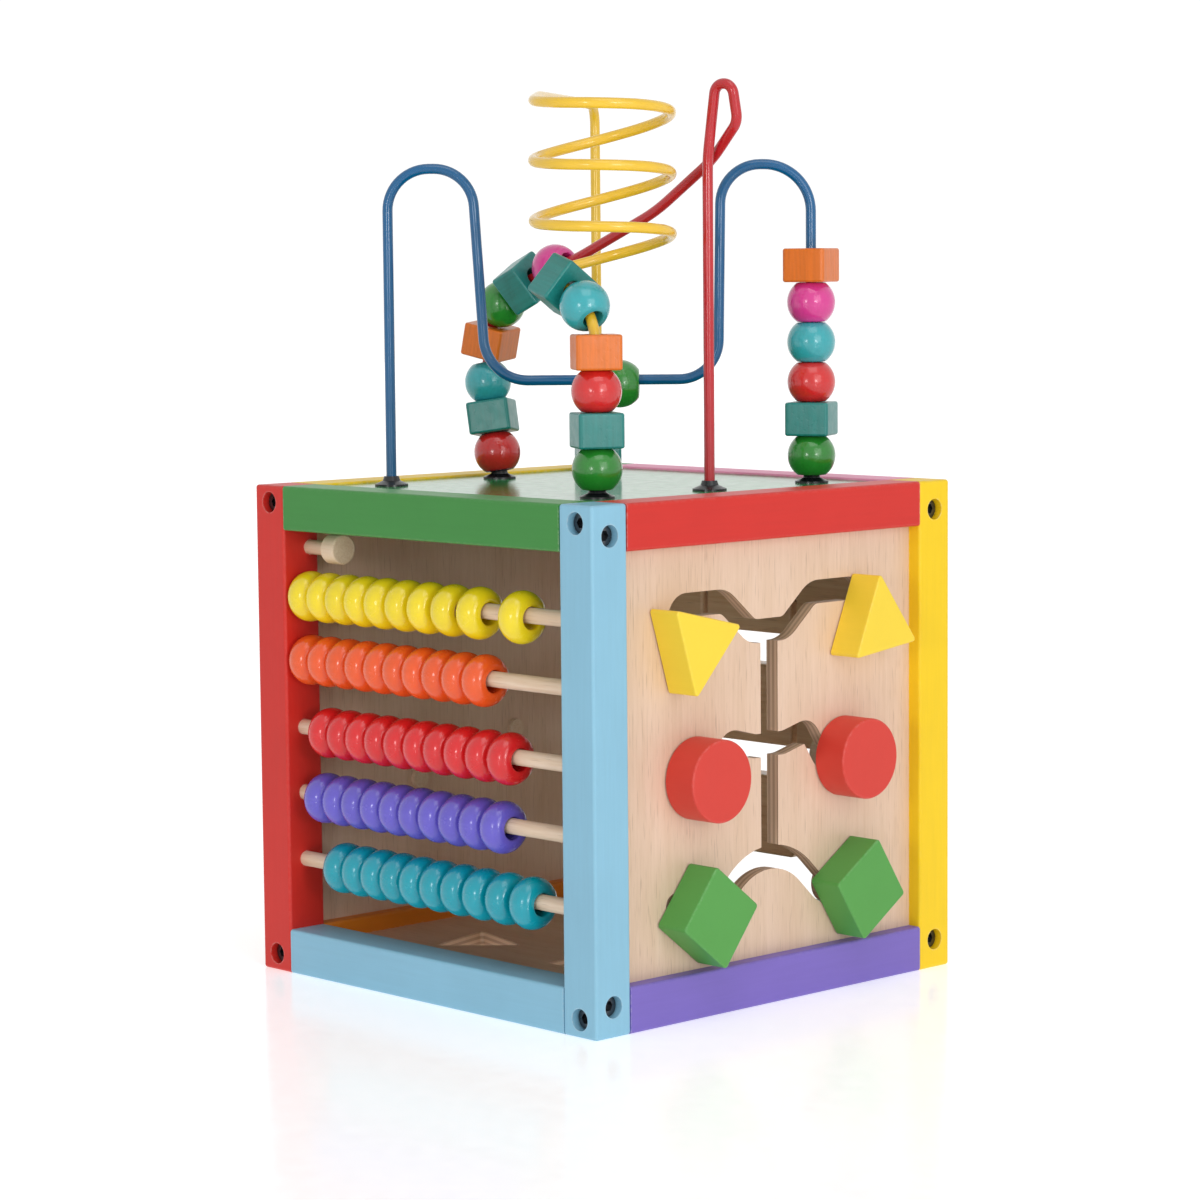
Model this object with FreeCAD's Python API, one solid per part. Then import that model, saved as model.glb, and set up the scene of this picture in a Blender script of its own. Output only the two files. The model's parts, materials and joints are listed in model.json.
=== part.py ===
import FreeCAD, Part
import math
import os
from FreeCAD import Placement, Rotation, Vector

# A wooden activity cube: four posts and eight rails hold panels and rods, three bent wires with beads stand
# on the top, shapes slide in a slotted side, gears turn on the side across from it, counting beads fill the
# front, spinning tiles fill the back, and the floor has sorting holes.
# Origin at the bottom centre of the cube, +Z up, -Y the bead front, +X the side with the sliding shapes.

# Driving dimensions, millimetres
cube = 200.0
post = 18.0
panelThickness = 6.0
panelRecess = 6.0          # outer face of a side panel behind the faces of the posts
grooveDepth = 4.0
edgeRound = 1.2
floorBottom = 5.0
topBelowRail = 1.0

half = cube / 2
window = half - post       # half the clear opening between two posts
railCentre = half - post / 2
panelOuter = half - panelRecess
panelInner = panelOuter - panelThickness
panelHalf = window + grooveDepth
topSurface = cube - topBelowRail

# Bolts that pull the posts onto the rails
boltHeadRadius, boltHeadLength, boltSink = 3.9, 4.0, 3.0
boltHoleRadius, boltShankRadius, boltShankLength = 4.25, 2.0, 44.0
boltHeadRound, socketRadius, socketDepth = 0.5, 2.2, 2.2
boltHeightIntoSideRails, boltHeightIntoFrontRails = 6.9, 11.7

# Counting beads
rodRadius, rodPocket, pegPocket = 3.1, 8.0, 5.0
beadRadius, beadThickness, beadBore, beadDrop = 10.3, 11.6, 4.4, 1.0
# name, rod height, centre of the first bead, bead count, widening of the gaps along the row
countingRows = [
    ("yellow", 156.0, -76.0, 9, 0.070),
    ("orange", 130.0, -76.0, 10, 0.003),
    ("red", 101.0, -64.5, 10, 0.016),
    ("purple", 74.0, -67.8, 10, 0.010),
    ("teal", 46.5, -56.3, 10, 0.034),
]
beadPitch = 11.7
lonelyBeadX = 51.6

# Sliding shapes and their tracks, as (y, z) on the right-hand panel
trackWidth, shaftWidth = 9.4, 9.6
blockBack, blockFront = 94.5, 109.4
pegRadius, collarRadius, collarThickness = 3.9, 8.0, 4.0
pegInBlock, collarGap, pegTail = 8.0, 0.6, 1.0
triangleRadius, triangleRound = 20.8, 1.2
discRadius = 16.0
squareSide, squareRound = 28.8, 1.5
triangleSeat = (50.5, 145.3)
discSeat = (41.7, 92.4)
squareSeat = (42.5, 40.0)

# Gears on the left-hand panel, centres as (y, z)
gearPitchRadius, gearTeeth, toothHeight, gearBacklash = 28.65, 12, 2.9, 0.55
gearThickness, gearGap = 8.0, 0.8
axleRadius, axleBore, axleTail, axleHeadRadius, axleHeadLength = 4.0, 4.35, 2.0, 8.0, 3.6
gearSeats = {"low": (-25.0, 72.0), "middle": (30.0, 88.0), "high": (5.8, 139.9)}

# Spinning tiles at the back
tileHeights = {"top": 149.0, "middle": 101.5, "bottom": 54.0}
tileColumns = {"left": -52.5, "centre": 0.0, "right": 52.5}
tileWidth, tileHeight, tileThickness, tileBore, tileRound = 50.0, 34.0, 11.0, 3.5, 1.5

# Bead maze
wireRadius = 2.1
ballRadius, ballHeight, brickSide, brickHeight, mazeBore = 9.75, 16.0, 18.0, 13.6, 4.0
capProfile = [(2.0, 0.0), (6.8, 0.0), (6.8, 0.8), (3.6, 2.2), (3.0, 4.0), (2.0, 4.0)]
coilRadius, coilPitch, coilTurns, coilSteps, coilTilt = 26.6, 23.3, 3, 10, 0.113
coilCentre = (3.0, 58.9)            # as s and depth, see diagonal
coilLow = 282.0
coilBend = 24.5
coilEntry = (-9.5, 70.0, 279.0)      # as s and depth, see diagonal
stackGap = 0.1

# Beads piled on the wires' feet, from the lowest up: kind, turn about the wire
blueLeg = [("ball", 0), ("brick", 28), ("ball", 0), ("ball", 0), ("ball", 0), ("brick", 20)]
redLeg = [("ball", 0), ("brick", 35), ("ball", 0)]
yellowLeg = [("ball", 0), ("brick", -30), ("ball", 0), ("brick", -35)]
yellowBackLeg = [("brick", -34)]
# Loose beads: kind, distance along the wire from its first foot, turn about the wire
blueRunBead = 288.4
redBeads = {"bend_brick": ("brick", 64.6, 20), "bend_ball": ("ball", 81.9, 0),
            "slope_brick": ("brick", 98.6, 30), "slope_ball": ("ball", 117.6, 0)}
yellowBeads = {"lead_ball": ("ball", 81.8, 0), "lead_brick": ("brick", 99.0, 25)}

nodes = {}


def keep(name, shapes):
    """Stores a node: one solid, or a group of separate ones."""
    solids = shapes if isinstance(shapes, list) else [shapes]
    nodes[name] = solids[0] if len(solids) == 1 else Part.makeCompound(solids)


def block(low, high, round=0.0, along=None):
    """A box between two corners; its edges along one axis, or all of them, are rounded."""
    low, high = Vector(*low), Vector(*high)
    size = high - low
    shape = Part.makeBox(size.x, size.y, size.z, low)
    if not round:
        return shape
    edges = shape.Edges
    if along is not None:
        edges = [e for e in edges if abs(e.tangentAt(e.FirstParameter).dot(Vector(*along))) > 0.99]
    return shape.makeFillet(round, edges)


def rod(radius, start, direction, length):
    return Part.makeCylinder(radius, length, Vector(*start), Vector(*direction))


def cut(shape, tools):
    for tool in tools:
        shape = shape.cut(tool)
    return shape


def upright(a, b):
    """A point of a side panel's face from its (y, z)."""
    return Vector(0, a, b)


def flat(a, b):
    """A point of the floor from its (x, y)."""
    return Vector(a, b, 0)


def outlineFace(points, radius, plane):
    """A closed face through the corners, each rounded by the radius."""
    corners = [plane(a, b) for a, b in points]
    rounds = []
    for i, corner in enumerate(corners):
        before = (corners[i - 1] - corner).normalize()
        after = (corners[(i + 1) % len(corners)] - corner).normalize()
        halfAngle = before.getAngle(after) / 2
        reach = radius / math.tan(halfAngle)
        middle = corner + (before + after).normalize() * (radius / math.sin(halfAngle) - radius)
        rounds.append((corner + before * reach, middle, corner + after * reach))
    edges = []
    for i, (start, middle, end) in enumerate(rounds):
        edges.append(Part.Arc(start, middle, end).toShape())
        edges.append(Part.LineSegment(end, rounds[(i + 1) % len(rounds)][0]).toShape())
    return Part.Face(Part.Wire(edges))


def regular(count, radius, centre, turn):
    """Corners of a regular polygon; turn is the first corner's angle in degrees."""
    angles = [math.radians(turn + 360 * k / count) for k in range(count)]
    return [(centre[0] + radius * math.cos(a), centre[1] + radius * math.sin(a)) for a in angles]


def bentPath(points, radii):
    """Straight runs through the points, joined by tangent arcs of the given radii."""
    points = [Vector(*p) for p in points]
    edges, start = [], points[0]
    for before, corner, after, radius in zip(points, points[1:], points[2:], radii):
        back, ahead = (before - corner).normalize(), (after - corner).normalize()
        halfAngle = back.getAngle(ahead) / 2
        reach = radius / math.tan(halfAngle)
        middle = corner + (back + ahead).normalize() * (radius / math.sin(halfAngle) - radius)
        if (corner + back * reach - start).Length > 1e-6:
            edges.append(Part.LineSegment(start, corner + back * reach).toShape())
        edges.append(Part.Arc(corner + back * reach, middle, corner + ahead * reach).toShape())
        start = corner + ahead * reach
    edges.append(Part.LineSegment(start, points[-1]).toShape())
    return Part.Wire(edges)


def alongPath(path, distance):
    """The point at a distance along a path, and the path's direction there."""
    for edge in path.Edges:
        if distance <= edge.Length:
            at = edge.getParameterByLength(distance)
            return edge.valueAt(at), edge.tangentAt(at).normalize()
        distance -= edge.Length
    raise ValueError("the path is shorter than that")


# ---- Frame ----

def framePosts():
    posts = {}
    for across, sx in (("left", -1), ("right", 1)):
        for depth, sy in (("front", -1), ("back", 1)):
            low = [sx * railCentre - post / 2, sy * railCentre - post / 2, 0]
            high = [low[0] + post, low[1] + post, cube]
            posts[f"post_{depth}_{across}"] = block(low, high, edgeRound)
    return posts


def frameRails():
    rails = {}
    for level, low in (("top", cube - post), ("bottom", 0)):
        for name, sign in (("front", -1), ("back", 1)):
            start = (-window, sign * railCentre - post / 2, low)
            end = (window, sign * railCentre + post / 2, low + post)
            rails[f"rail_{level}_{name}"] = block(start, end, edgeRound, (1, 0, 0))
        for name, sign in (("left", -1), ("right", 1)):
            start = (sign * railCentre - post / 2, -window, low)
            end = (sign * railCentre + post / 2, window, low + post)
            rails[f"rail_{level}_{name}"] = block(start, end, edgeRound, (0, 1, 0))
    return rails


def frameBolts():
    """Socket-head bolts, one through each post into each rail end, and the sinkings their heads sit in."""
    bolts, sinks = [], []
    for sx in (-1, 1):
        for sy in (-1, 1):
            for sz in (-1, 1):
                heights = [boltHeightIntoFrontRails, boltHeightIntoSideRails]
                zs = [h if sz < 0 else cube - h for h in heights]
                seats = [((sx * half, sy * railCentre, zs[0]), (-sx, 0, 0)),
                         ((sx * railCentre, sy * half, zs[1]), (0, -sy, 0))]
                for mouth, inward in seats:
                    mouth, inward = Vector(*mouth), Vector(*inward)
                    top = mouth + inward * boltSink
                    under = top + inward * boltHeadLength
                    head = rod(boltHeadRadius, top, inward, boltHeadLength)
                    head = head.makeFillet(boltHeadRound, [head.Edges[0]])
                    socket = Part.Face(Part.makePolygon(socketOutline(top, inward))).extrude(inward * socketDepth)
                    shank = rod(boltShankRadius, under, inward, boltShankLength)
                    bolts.append(head.cut(socket).fuse(shank).removeSplitter())
                    sinks.append(rod(boltHoleRadius, mouth, inward, boltSink + boltHeadLength))
    return bolts, sinks


def socketOutline(centre, axis):
    """The closed outline of a bolt's socket around a horizontal axis."""
    across = Vector(0, 0, 1).cross(axis)
    corners = []
    for k in range(6):
        a = math.pi * k / 3
        corners.append(centre + (across * math.cos(a) + Vector(0, 0, math.sin(a))) * socketRadius)
    return corners + corners[:1]


# ---- Panels ----

def trackFaces():
    """The three wavy tracks, as faces in the plane x = 0."""
    ty, tz = triangleSeat
    dy, dz = discSeat
    high = [(ty, tz), (ty, 159), (24.7, 159), (9.4, 146)]
    middle = [(dy, dz), (30, dz), (22, 104.5), (8, 101)]
    low = [(52.6, 44.2), (33, 36.1)]
    routes = [
        (high + [(-y, z) for y, z in reversed(high)], [5, 9, 9, 9, 9, 5]),
        (middle + [(-y, z) for y, z in reversed(middle)], [5, 5, 8, 8, 5, 5]),
        (low + [(0, 67.5)] + [(-y, z) for y, z in reversed(low)], [12, 29, 12]),
    ]
    paths = [bentPath([(0, y, z) for y, z in points], radii) for points, radii in routes]
    return [path.makeOffset2D(trackWidth / 2, 0, True, False, False) for path in paths]


def sidePanel(side):
    """A plywood panel held in the grooves of the rails and posts, on the +X or -X side."""
    faces = sorted((side * panelInner, side * panelOuter))
    edge = post - grooveDepth
    return block((faces[0], -panelHalf, edge), (faces[1], panelHalf, cube - edge))


def sliderPanel():
    panel = sidePanel(1)
    for face in trackFaces():
        track = face.extrude(Vector(panelThickness, 0, 0))
        track.translate(Vector(panelInner, 0, 0))
        panel = panel.cut(track)
    shaft = block((panelInner, -shaftWidth / 2, 57), (panelOuter, shaftWidth / 2, 146))
    return panel.cut(shaft)


def gearPanel():
    holes = [rod(axleRadius, (-panelOuter, y, z), (1, 0, 0), panelThickness) for y, z in gearSeats.values()]
    return cut(sidePanel(-1), holes)


def floorSlab():
    return block((-panelHalf, -panelHalf, floorBottom), (panelHalf, panelHalf, floorBottom + panelThickness))


def floorPanel():
    """The floor, with a three-cornered, a square and a round hole to sort shapes through."""
    triangle = outlineFace(regular(3, 20.5, (-35.5, -38.0), 15), 1.5, flat)
    square = outlineFace(regular(4, 22.0, (34.0, -34.0), 45), 1.5, flat)
    disc = Part.Face(Part.Wire(Part.makeCircle(17.0, Vector(0, 36, 0))))
    holes = [face.extrude(Vector(0, 0, 4 * panelThickness)) for face in (triangle, square, disc)]
    return cut(floorSlab(), holes)


def topPanel():
    return block((-panelHalf, -panelHalf, topSurface - panelThickness), (panelHalf, panelHalf, topSurface))


# ---- Counting beads ----

def countingBead(x, height):
    """A doughnut-like bead that hangs on its rod, its middle a little below the rod's."""
    bead = rod(beadRadius, (x - beadThickness / 2, 0, 0), (1, 0, 0), beadThickness)
    rims = [e for e in bead.Edges if e.Closed and len(e.Vertexes) == 1]
    bead = bead.makeFillet(beadThickness / 2 - 0.9, rims)
    bore = rod(beadBore, (x - beadThickness, 0, 0), (1, 0, 0), 2 * beadThickness)
    bead = bead.cut(bore)
    mouths = [e for e in bead.Edges if e.Closed and abs(e.Curve.Radius - beadBore) < 1e-3]
    bead = bead.makeFillet(0.8, mouths)
    bead.translate(Vector(0, -railCentre, height - beadDrop))
    return bead


def countingBeads():
    for name, height, first, count, widening in countingRows:
        beads, x = [], first
        for k in range(count):
            beads.append(countingBead(x, height))
            x += beadPitch + widening * k * k
        keep(f"counting_beads_{name}", beads)
        if name == "yellow":
            keep("counting_bead_lone_yellow", countingBead(lonelyBeadX, height))


def countingRods():
    reach = window + rodPocket
    return [rod(rodRadius, (-reach, -railCentre, row[1]), (1, 0, 0), 2 * reach) for row in countingRows]


def stubPeg():
    """A short dowel with a collar on its end, standing out of the front left post below the top rail."""
    y, z = -86.5, 174.5
    dowel = rod(2.95, (-window - pegPocket, y, z), (1, 0, 0), pegPocket + 22)
    collar = rod(6.1, (-window + 14, y, z), (1, 0, 0), 8)
    collar = collar.makeFillet(0.8, [e for e in collar.Edges if e.Closed and len(e.Vertexes) == 1])
    return dowel.fuse(collar).removeSplitter()


# ---- Sliding shapes ----

def slidingShape(face, seat):
    """A block in front of its track, with a peg through the track and a collar that holds it from inside."""
    y, z = seat
    body = face.extrude(Vector(blockFront - blockBack, 0, 0))
    body.translate(Vector(blockBack, 0, 0))
    body = body.makeFillet(0.8, [e for e in body.Edges if e.CenterOfMass.x > blockFront - 0.01])
    collarFront = panelInner - collarGap
    pegStart = collarFront - collarThickness - pegTail
    peg = rod(pegRadius, (pegStart, y, z), (1, 0, 0), blockBack + pegInBlock - pegStart)
    collar = rod(collarRadius, (collarFront - collarThickness, y, z), (1, 0, 0), collarThickness)
    return [body.cut(peg), peg, collar.cut(peg)]


def slidingShapes():
    for side, sign, triangleTurn, squareTurn in (("left", -1, 17, 51.7), ("right", 1, 97, 33)):
        y, z = sign * triangleSeat[0], triangleSeat[1]
        face = outlineFace(regular(3, triangleRadius, (y, z), triangleTurn), triangleRound, upright)
        keep(f"sliding_triangle_{side}", slidingShape(face, (y, z)))
        y, z = sign * discSeat[0], discSeat[1]
        face = Part.Face(Part.Wire(Part.makeCircle(discRadius, Vector(0, y, z), Vector(1, 0, 0))))
        keep(f"sliding_disc_{side}", slidingShape(face, (y, z)))
        y, z = sign * squareSeat[0], squareSeat[1]
        corners = regular(4, squareSide / math.sqrt(2), (y, z), squareTurn + 45)
        keep(f"sliding_square_{side}", slidingShape(outlineFace(corners, squareRound, upright), (y, z)))


# ---- Gears ----

def gear(seat, turn):
    """A wooden gear with wavy teeth; turn is the angle of its first tooth, from +Y towards +Z."""
    y, z = seat
    points = []
    for k in range(8 * gearTeeth):
        a = 2 * math.pi * k / (8 * gearTeeth)
        r = gearPitchRadius - gearBacklash + toothHeight * math.cos(gearTeeth * (a - turn))
        points.append(Vector(0, y + r * math.cos(a), z + r * math.sin(a)))
    outline = Part.BSplineCurve()
    outline.interpolate(points, True)
    wheel = Part.Face(Part.Wire(outline.toShape())).extrude(Vector(gearThickness, 0, 0))
    wheel.translate(Vector(-panelOuter - gearGap - gearThickness, 0, 0))
    return wheel.cut(rod(axleBore, (-cube, y, z), (1, 0, 0), cube))


def gears():
    """Each outer gear is turned so that its teeth meet the gaps of the middle one."""
    middle = gearSeats["middle"]
    keep("gear_middle", gear(middle, 0.0))
    for name in ("low", "high"):
        y, z = gearSeats[name]
        outward = math.atan2(z - middle[1], y - middle[0])
        keep(f"gear_{name}", gear((y, z), 2 * outward - math.pi / gearTeeth))


def gearAxles():
    axles = []
    headStart = panelOuter + gearGap + gearThickness + 0.5
    for y, z in gearSeats.values():
        length = headStart - panelInner + axleTail
        dowel = rod(axleRadius, (-panelInner + axleTail, y, z), (-1, 0, 0), length)
        head = rod(axleHeadRadius, (-headStart, y, z), (-1, 0, 0), axleHeadLength)
        rim = [e for e in head.Edges if e.Closed and e.CenterOfMass.x < -headStart - axleHeadLength + 0.01]
        axles.append(dowel.fuse(head.makeFillet(2.0, rim)).removeSplitter())
    return axles


# ---- Spinning tiles ----

def spinningTiles():
    for row, z in tileHeights.items():
        for column, x in tileColumns.items():
            low = (x - tileWidth / 2, railCentre - tileThickness / 2, z - tileHeight / 2)
            high = (x + tileWidth / 2, railCentre + tileThickness / 2, z + tileHeight / 2)
            tile = block(low, high, tileRound)
            keep(f"tile_{row}_{column}", tile.cut(rod(tileBore, (-cube, railCentre, z), (1, 0, 0), 2 * cube)))


def tileRods():
    reach = window + rodPocket
    return [rod(rodRadius, (-reach, railCentre, z), (1, 0, 0), 2 * reach) for z in tileHeights.values()]


# ---- Bead maze ----

def diagonal(s, z, depth=0.0):
    """A point s along the diagonal from the front left corner to the back right one, depth in front of it."""
    return ((s + depth) / math.sqrt(2), (s - depth) / math.sqrt(2), z)


wireFoot = topSurface - panelThickness
beadStart = panelThickness + 3.2     # along a wire, from its foot to the underside of its lowest bead
blueFoot = 85.6
redFoot = 62.0
yellowFront, yellowBack = (61.0, -60.0), (-63.0, 58.0)


def bluePath():
    points = [
        diagonal(-blueFoot, wireFoot), diagonal(-blueFoot, 327.2), diagonal(-51.5, 327.2), diagonal(-46.3, 241.5),
        diagonal(47.9, 241.5), diagonal(49.3, 327.8), diagonal(blueFoot, 327.8), diagonal(blueFoot, wireFoot),
    ]
    return bentPath(points, [16.8, 16.2, 18, 16, 16, 19])


def redPath():
    points = [
        (-redFoot, 0, wireFoot), (-redFoot, 0, 203), (-69.6, 0, 245), (-63, 0, 271), (-44, 0, 281.5),
        (-14, 1.5, 291), (28, 5, 309), (58, 6.5, 328.5), (75, 3.5, 343), (74.5, 1, 357.6),
        (66.5, 0, 357.6), (redFoot, 0, 329), (redFoot, 0, wireFoot),
    ]
    return bentPath(points, [12, 20, 24, 60, 90, 90, 60, 7, 4.2, 4.2, 60])


def coilCorner(step):
    """A corner of the polygon that the coil is bent from; the coil climbs to the left and to the back."""
    turn = 2 * math.pi * step / coilSteps
    reach = coilRadius / math.cos(math.pi / coilSteps)
    s, depth = -reach * math.sin(turn), reach * math.cos(turn)
    climb = coilPitch * (turn / (2 * math.pi) - 0.25) + coilTilt * (s + coilRadius)
    return diagonal(coilCentre[0] + s, coilLow + climb, coilCentre[1] + depth)


def yellowPath():
    """Up from the front foot into three turns of a coil, back over the top and down to the back foot."""
    lastStep = coilSteps * coilTurns + 2
    coil = [coilCorner(step) for step in range(3, lastStep + 1)]
    entry = diagonal(coilEntry[0], coilEntry[2], coilEntry[1])
    points = [(*yellowFront, wireFoot), (*yellowFront, 268), entry] + coil + [diagonal(-22.0, 354, 38)]
    points += [(*yellowBack, 356), (*yellowBack, wireFoot)]
    return bentPath(points, [22, 45, 10.5] + [coilBend] * (len(coil) - 1) + [90, 9])


def bentWire(path):
    """A round wire along a path of straight runs and tangent arcs."""
    first = path.Edges[0]
    start, direction = first.valueAt(first.FirstParameter), first.tangentAt(first.FirstParameter)
    section = Part.Wire(Part.makeCircle(wireRadius, start, direction))
    return path.makePipeShell([section], True, False)


def wireCaps(wires):
    """Low cones on the top panel that cover the holes the wires stand in."""
    outline = Part.makePolygon([Vector(r, 0, topSurface + z) for r, z in capProfile + capProfile[:1]])
    cap = Part.Face(outline).revolve(Vector(0, 0, 0), Vector(0, 0, 1), 360)
    caps = []
    for wire in wires:
        for end in (wire.Edges[0].Vertexes[0].Point, wire.Edges[-1].Vertexes[-1].Point):
            caps.append(cap.translated(Vector(end.x, end.y, 0)))
    return caps


def mazeBall():
    ball = Part.makeSphere(ballRadius).common(
        block((-ballRadius, -ballRadius, -ballHeight / 2), (ballRadius, ballRadius, ballHeight / 2)))
    return ball.cut(rod(mazeBore, (0, 0, -ballHeight), (0, 0, 1), 2 * ballHeight))


def mazeBrick():
    corner = (brickSide / 2, brickSide / 2, brickHeight / 2)
    brick = block([-c for c in corner], corner, 1.4)
    return brick.cut(rod(mazeBore, (0, 0, -brickHeight), (0, 0, 1), 2 * brickHeight))


beadHeights = {"ball": ballHeight, "brick": brickHeight}
beadMakers = {"ball": mazeBall, "brick": mazeBrick}


def threaded(kind, place, turn=0.0):
    """A bead at a place on a wire, given as its centre and the wire's direction, turned about the wire."""
    centre, direction = place
    bead = beadMakers[kind]()
    bead.rotate(Vector(0, 0, 0), Vector(0, 0, 1), turn)
    bead.Placement = Placement(centre, Rotation(Vector(0, 0, 1), direction)) * bead.Placement
    return bead


def stack(path, pieces, fromEnd=False):
    """Beads piled in a straight column on a wire's foot, along the wire's direction in the lowest one."""
    lowest = beadStart + beadHeights[pieces[0][0]] / 2
    centre, direction = alongPath(path, path.Length - lowest if fromEnd else lowest)
    upward = -direction if fromEnd else direction
    beads, height = [], beadStart
    for kind, turn in pieces:
        middle = height + beadHeights[kind] / 2
        beads.append(threaded(kind, (centre + upward * (middle - lowest), upward), turn))
        height += beadHeights[kind] + stackGap
    return beads


def mazeBeads(blue, red, yellow):
    keep("beads_blue_leg", stack(blue, blueLeg, True))
    running, ahead = alongPath(blue, blueRunBead)
    hanging = running - Vector(0, 0, mazeBore - wireRadius - 0.3)
    keep("bead_blue_run", threaded("ball", (hanging, ahead)))
    keep("beads_red_leg", stack(red, redLeg))
    keep("beads_yellow_leg", stack(yellow, yellowLeg))
    keep("bead_yellow_back", stack(yellow, yellowBackLeg, True))
    for colour, path, beads in (("red", red, redBeads), ("yellow", yellow, yellowBeads)):
        for name, (kind, distance, turn) in beads.items():
            keep(f"bead_{colour}_{name}", threaded(kind, alongPath(path, distance), turn))


# ---- Assembly ----

def build():
    blue, red, yellow = bluePath(), redPath(), yellowPath()
    wires = {"wire_blue": bentWire(blue), "wire_red": bentWire(red), "wire_yellow": bentWire(yellow)}
    panels = {"panel_top": cut(topPanel(), list(wires.values())), "panel_floor": floorPanel(),
              "panel_slider": sliderPanel(), "panel_gears": gearPanel()}
    bolts, sinks = frameBolts()
    rods = {"counting_rods": countingRods(), "tile_rods": tileRods()}
    peg = stubPeg()
    seated = [topPanel(), sidePanel(1), sidePanel(-1), floorSlab(), peg] + bolts + sinks
    seated += rods["counting_rods"] + rods["tile_rods"]
    for name, shape in {**framePosts(), **frameRails()}.items():
        keep(name, cut(shape, [tool for tool in seated if shape.distToShape(tool)[0] < 1e-6]))
    for name, shape in {**panels, **rods, **wires}.items():
        keep(name, shape)
    keep("frame_bolts", bolts)
    keep("stub_peg", peg)
    keep("wire_caps", [cut(cap, wires.values()) for cap in wireCaps((blue, red, yellow))])
    keep("gear_axles", gearAxles())
    countingBeads()
    slidingShapes()
    gears()
    spinningTiles()
    mazeBeads(blue, red, yellow)


if __name__ == "__main__":
    build()
    os.makedirs("parts", exist_ok=True)
    for name, shape in nodes.items():
        shape.exportStep(f"parts/{name}.step")
    print(len(nodes), "nodes")
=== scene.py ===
import json
import math
import bmesh
import bpy
from mathutils import Matrix, Vector


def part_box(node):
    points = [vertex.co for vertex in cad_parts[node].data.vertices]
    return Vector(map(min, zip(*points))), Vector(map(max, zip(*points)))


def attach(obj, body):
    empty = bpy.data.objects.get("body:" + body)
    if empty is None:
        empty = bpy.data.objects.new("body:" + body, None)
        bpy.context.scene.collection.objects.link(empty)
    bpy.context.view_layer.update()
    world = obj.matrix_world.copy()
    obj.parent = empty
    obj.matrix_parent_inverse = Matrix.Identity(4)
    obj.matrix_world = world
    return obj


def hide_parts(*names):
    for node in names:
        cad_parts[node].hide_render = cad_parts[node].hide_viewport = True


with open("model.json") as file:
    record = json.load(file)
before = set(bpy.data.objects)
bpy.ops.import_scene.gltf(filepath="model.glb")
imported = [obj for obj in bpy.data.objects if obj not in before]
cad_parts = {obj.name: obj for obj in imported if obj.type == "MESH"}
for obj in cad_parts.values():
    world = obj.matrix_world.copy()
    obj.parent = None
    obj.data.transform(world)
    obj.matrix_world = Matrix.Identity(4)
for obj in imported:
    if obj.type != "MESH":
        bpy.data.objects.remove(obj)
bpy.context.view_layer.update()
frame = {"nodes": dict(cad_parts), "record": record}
cadNodes = frame["nodes"]
bodyOf = {node: body for body, nodes in frame["record"]["behaviour"]["bodies"].items() for node in nodes}
mm = 0.001


def say(stage):
    print("activity cube:", stage)


def sRgb(code):
    parts = [int(code[i:i + 2], 16) / 255 for i in (0, 2, 4)]
    linear = [c / 12.92 if c <= 0.04045 else ((c + 0.055) / 1.055) ** 2.4 for c in parts]
    return (*linear, 1.0)


def addNode(tree, kind, inputs=None, **settings):
    made = tree.nodes.new(kind)
    for name, value in settings.items():
        setattr(made, name, value)
    for name, value in (inputs or {}).items():
        socket = made.inputs[name]
        if isinstance(value, bpy.types.NodeSocket):
            tree.links.new(value, socket)
        else:
            socket.default_value = value
    return made


def newGroup(name, inputs, outputs):
    group = bpy.data.node_groups.new(name, "ShaderNodeTree")
    for label, kind, value in inputs:
        socket = group.interface.new_socket(label, in_out="INPUT", socket_type="NodeSocket" + kind)
        socket.default_value = value
    for label, kind in outputs:
        group.interface.new_socket(label, in_out="OUTPUT", socket_type="NodeSocket" + kind)
    return group, group.nodes.new("NodeGroupInput").outputs, group.nodes.new("NodeGroupOutput").inputs


def calculate(tree, operation, a, b=0.0, c=0.0, clamp=False):
    inputs = {0: a, 1: b, 2: c}
    return addNode(tree, "ShaderNodeMath", inputs, operation=operation, use_clamp=clamp).outputs[0]


def remap(tree, value, low, high, outLow=0.0, outHigh=1.0):
    inputs = {"Value": value, "From Min": low, "From Max": high, "To Min": outLow, "To Max": outHigh}
    return addNode(tree, "ShaderNodeMapRange", inputs).outputs["Result"]


def blendColours(tree, factor, a, b):
    # the mix node has one set of sockets for each kind of value: 6, 7 and output 2 are the colours
    mixed = addNode(tree, "ShaderNodeMix", data_type="RGBA")
    for index, value in ((0, factor), (6, a), (7, b)):
        if isinstance(value, bpy.types.NodeSocket):
            tree.links.new(value, mixed.inputs[index])
        else:
            mixed.inputs[index].default_value = value
    return mixed.outputs[2]


# noise seldom leaves this range
noiseRange = (0.3, 0.7)


def noise(tree, place, scale, detail=2.0, roughness=0.5):
    inputs = {"Vector": place, "Scale": scale, "Detail": detail, "Roughness": roughness}
    return addNode(tree, "ShaderNodeTexNoise", inputs).outputs["Fac"]


def brighten(tree, colour, level):
    return addNode(tree, "ShaderNodeVectorMath", {0: colour, "Scale": level}, operation="SCALE").outputs[0]


def millimetres(tree, along=(1.0, 1.0, 1.0)):
    # the piece's own coordinates in millimetres, squeezed along the axes by the given vector
    place = addNode(tree, "ShaderNodeTexCoord").outputs["Object"]
    inMm = addNode(tree, "ShaderNodeVectorMath", {0: place, "Scale": 1 / mm}, operation="SCALE").outputs[0]
    return addNode(tree, "ShaderNodeVectorMath", {0: inMm, 1: along}, operation="MULTIPLY").outputs[0]


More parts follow.
